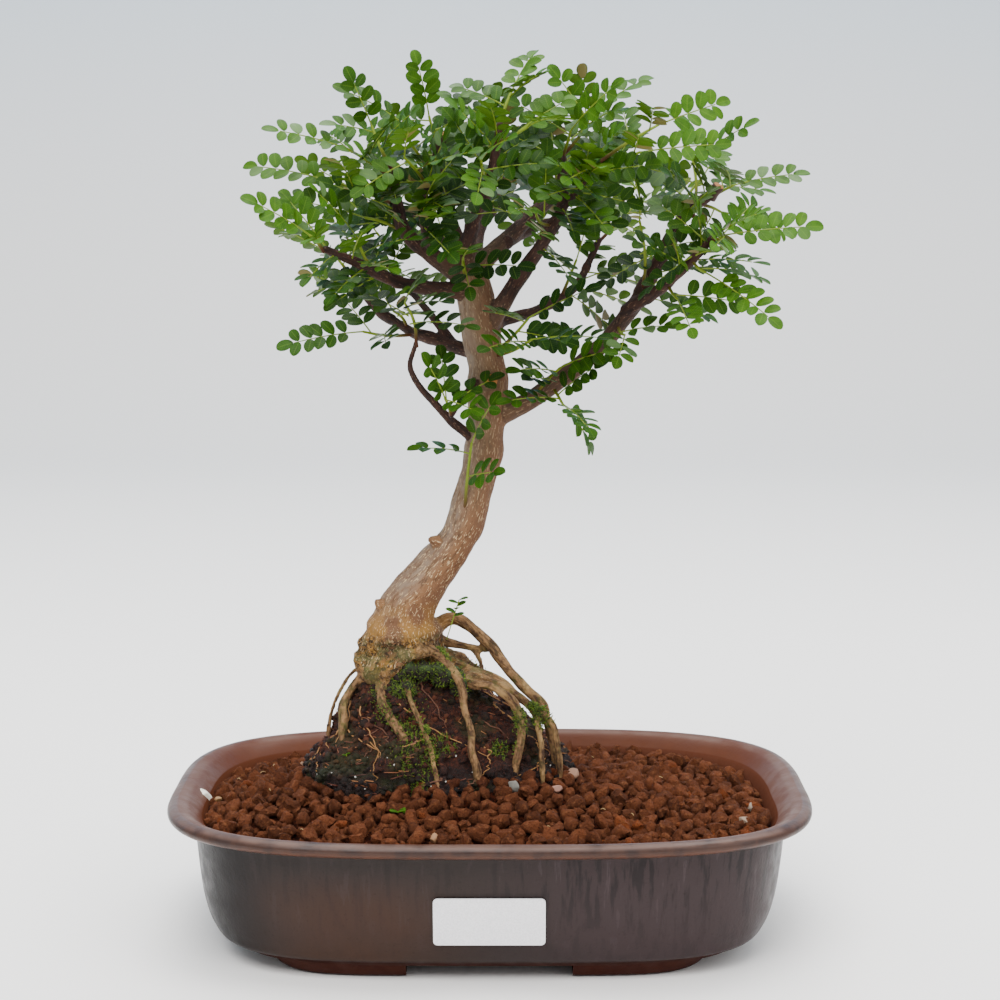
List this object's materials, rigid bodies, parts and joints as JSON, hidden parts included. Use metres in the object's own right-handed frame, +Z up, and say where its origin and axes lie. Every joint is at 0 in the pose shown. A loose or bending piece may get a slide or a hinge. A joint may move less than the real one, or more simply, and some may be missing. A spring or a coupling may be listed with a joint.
{
  "type": "potted bonsai tree",
  "caption": "Slanting pepper-leaf bonsai on bare roots over a peat mound, in a shallow rounded glazed pot on feet.",
  "frame": {"origin": "centre of the plane that the pot's feet stand on", "axes": "+Z up, -Y the front with the label, +X to the right seen from the front, along the pot's length"},
  "size_m": [0.25, 0.185, 0.3397],
  "materials": {
    "pot_glaze": "satin",
    "clay_granules": "matte",
    "wet_peat": "matte",
    "bark": "matte",
    "leaf_green": "satin",
    "mesh_plastic": "matte",
    "label_paper": "satin"
  },
  "bodies": {
    "root": {"pot": "pot_glaze", "drain_screen_left": "mesh_plastic", "drain_screen_right": "mesh_plastic", "label_blank": "label_paper", "soil_bed": "clay_granules", "peat_mound": "wet_peat", "trunk_branches_roots": "bark", "leaf_spray_reach_left": "leaf_green", "leaf_spray_far_right": "leaf_green", "leaf_spray_reach_low_right": "leaf_green", "leaf_spray_peak_right": "leaf_green", "leaf_spray_peak_left": "leaf_green", "leaf_spray_low_left": "leaf_green", "leaf_spray_hanging_left": "leaf_green", "leaf_spray_tip_left": "leaf_green", "leaf_spray_crown_far_left": "leaf_green", "leaf_spray_crown_left": "leaf_green", "leaf_spray_shoulder_left": "leaf_green", "leaf_spray_trunk_left": "leaf_green", "leaf_spray_trunk_shoot": "leaf_green", "leaf_spray_low_right": "leaf_green", "leaf_spray_mid_right": "leaf_green", "leaf_spray_elbow_right": "leaf_green", "leaf_spray_under_right": "leaf_green", "leaf_spray_reach_right": "leaf_green", "leaf_spray_tip_right": "leaf_green", "leaf_spray_shoulder_right": "leaf_green", "leaf_spray_crown_right": "leaf_green", "leaf_spray_crown_back_right": "leaf_green", "leaf_spray_crown_front": "leaf_green", "leaf_spray_back_right": "leaf_green", "leaf_spray_rear_right": "leaf_green", "leaf_spray_rear_crown": "leaf_green", "leaf_spray_rear_left": "leaf_green", "leaf_spray_rear_left_inner": "leaf_green", "leaf_spray_front_left": "leaf_green", "leaf_spray_front_crown": "leaf_green", "leaf_spray_front_peak": "leaf_green", "leaf_spray_mid_back_right": "leaf_green", "leaf_spray_inner_left": "leaf_green", "leaf_spray_inner_back_left": "leaf_green", "leaf_spray_inner_front": "leaf_green", "leaf_spray_inner_back": "leaf_green", "leaf_spray_fork_front": "leaf_green", "leaf_spray_under_left": "leaf_green", "leaf_spray_mid_left": "leaf_green", "leaf_spray_mid_front_right": "leaf_green", "leaf_spray_crown_middle": "leaf_green", "leaf_spray_rear_middle": "leaf_green", "leaf_spray_rear_fork": "leaf_green"}
  },
  "joints": []
}
